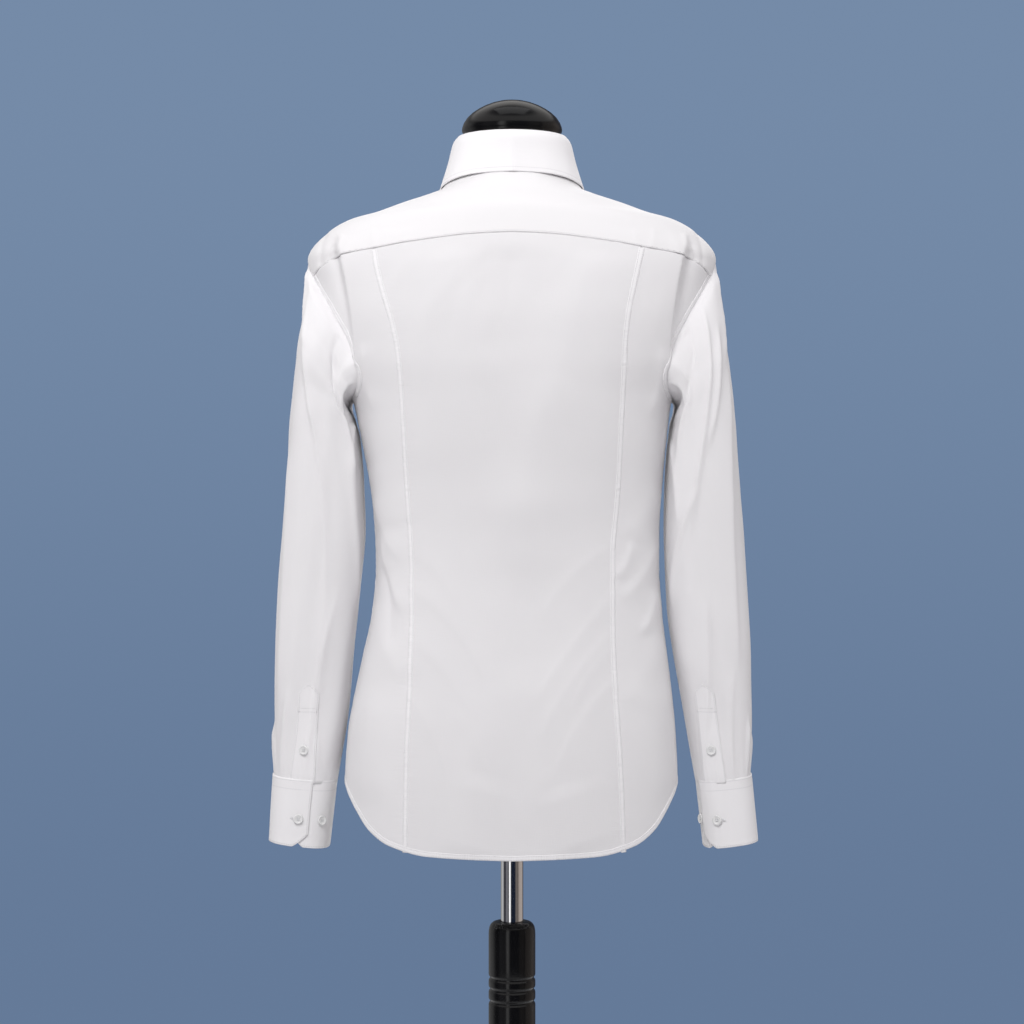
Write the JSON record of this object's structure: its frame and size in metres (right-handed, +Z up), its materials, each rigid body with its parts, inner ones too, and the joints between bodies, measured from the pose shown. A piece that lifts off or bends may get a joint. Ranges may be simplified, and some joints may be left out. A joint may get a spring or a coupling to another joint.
{
  "type": "long sleeve dress shirt on dress form stand",
  "caption": "Fitted long sleeve dress shirt with point collar, button front and button cuffs, worn by a limbless dress form on a height-adjustable round-based stand",
  "frame": {"origin": "on the floor at the middle of the base's underside, under the pole's axis", "axes": "+Z is up along the pole, -Y is where the shirt's front faces, +X is the wearer's left"},
  "size_m": [0.545, 0.36, 1.4313],
  "materials": {
    "white_cotton": "smooth white cotton poplin",
    "white_button": "glossy white resin",
    "form_cover": "off-white jersey over a hard form",
    "black_gloss": "black gloss lacquer",
    "chrome": "polished chrome"
  },
  "bodies": {
    "stand": {"base": "black_gloss", "column": "black_gloss"},
    "height_pole": {"pole": "chrome"},
    "figure": {"back_centre": "white_cotton", "back_side_left": "white_cotton", "back_side_right": "white_cotton", "collar_button": "white_button", "collar_fall": "white_cotton", "collar_stand": "white_cotton", "cuff_button_left_1": "white_button", "cuff_button_left_2": "white_button", "cuff_button_right_1": "white_button", "cuff_button_right_2": "white_button", "cuff_left": "white_cotton", "cuff_right": "white_cotton", "front_button_1": "white_button", "front_button_2": "white_button", "front_button_3": "white_button", "front_button_4": "white_button", "front_button_5": "white_button", "front_button_6": "white_button", "front_button_7": "white_button", "front_left": "white_cotton", "front_placket": "white_cotton", "front_right": "white_cotton", "neck_cap": "black_gloss", "sleeve_left": "white_cotton", "sleeve_placket_button_left": "white_button", "sleeve_placket_button_right": "white_button", "sleeve_placket_left": "white_cotton", "sleeve_placket_right": "white_cotton", "sleeve_right": "white_cotton", "torso": "form_cover", "yoke": "white_cotton"}
  },
  "joints": [
    {"name": "height_slide", "type": "slide", "parent": "stand", "child": "height_pole", "axis": [0, 0, 1], "range_m": [-0.1, 0.2]},
    {"name": "form_turn", "type": "hinge", "parent": "height_pole", "child": "figure", "pos_m": [0, 0, 0.76], "axis": [0, 0, 1], "continuous": true}
  ]
}
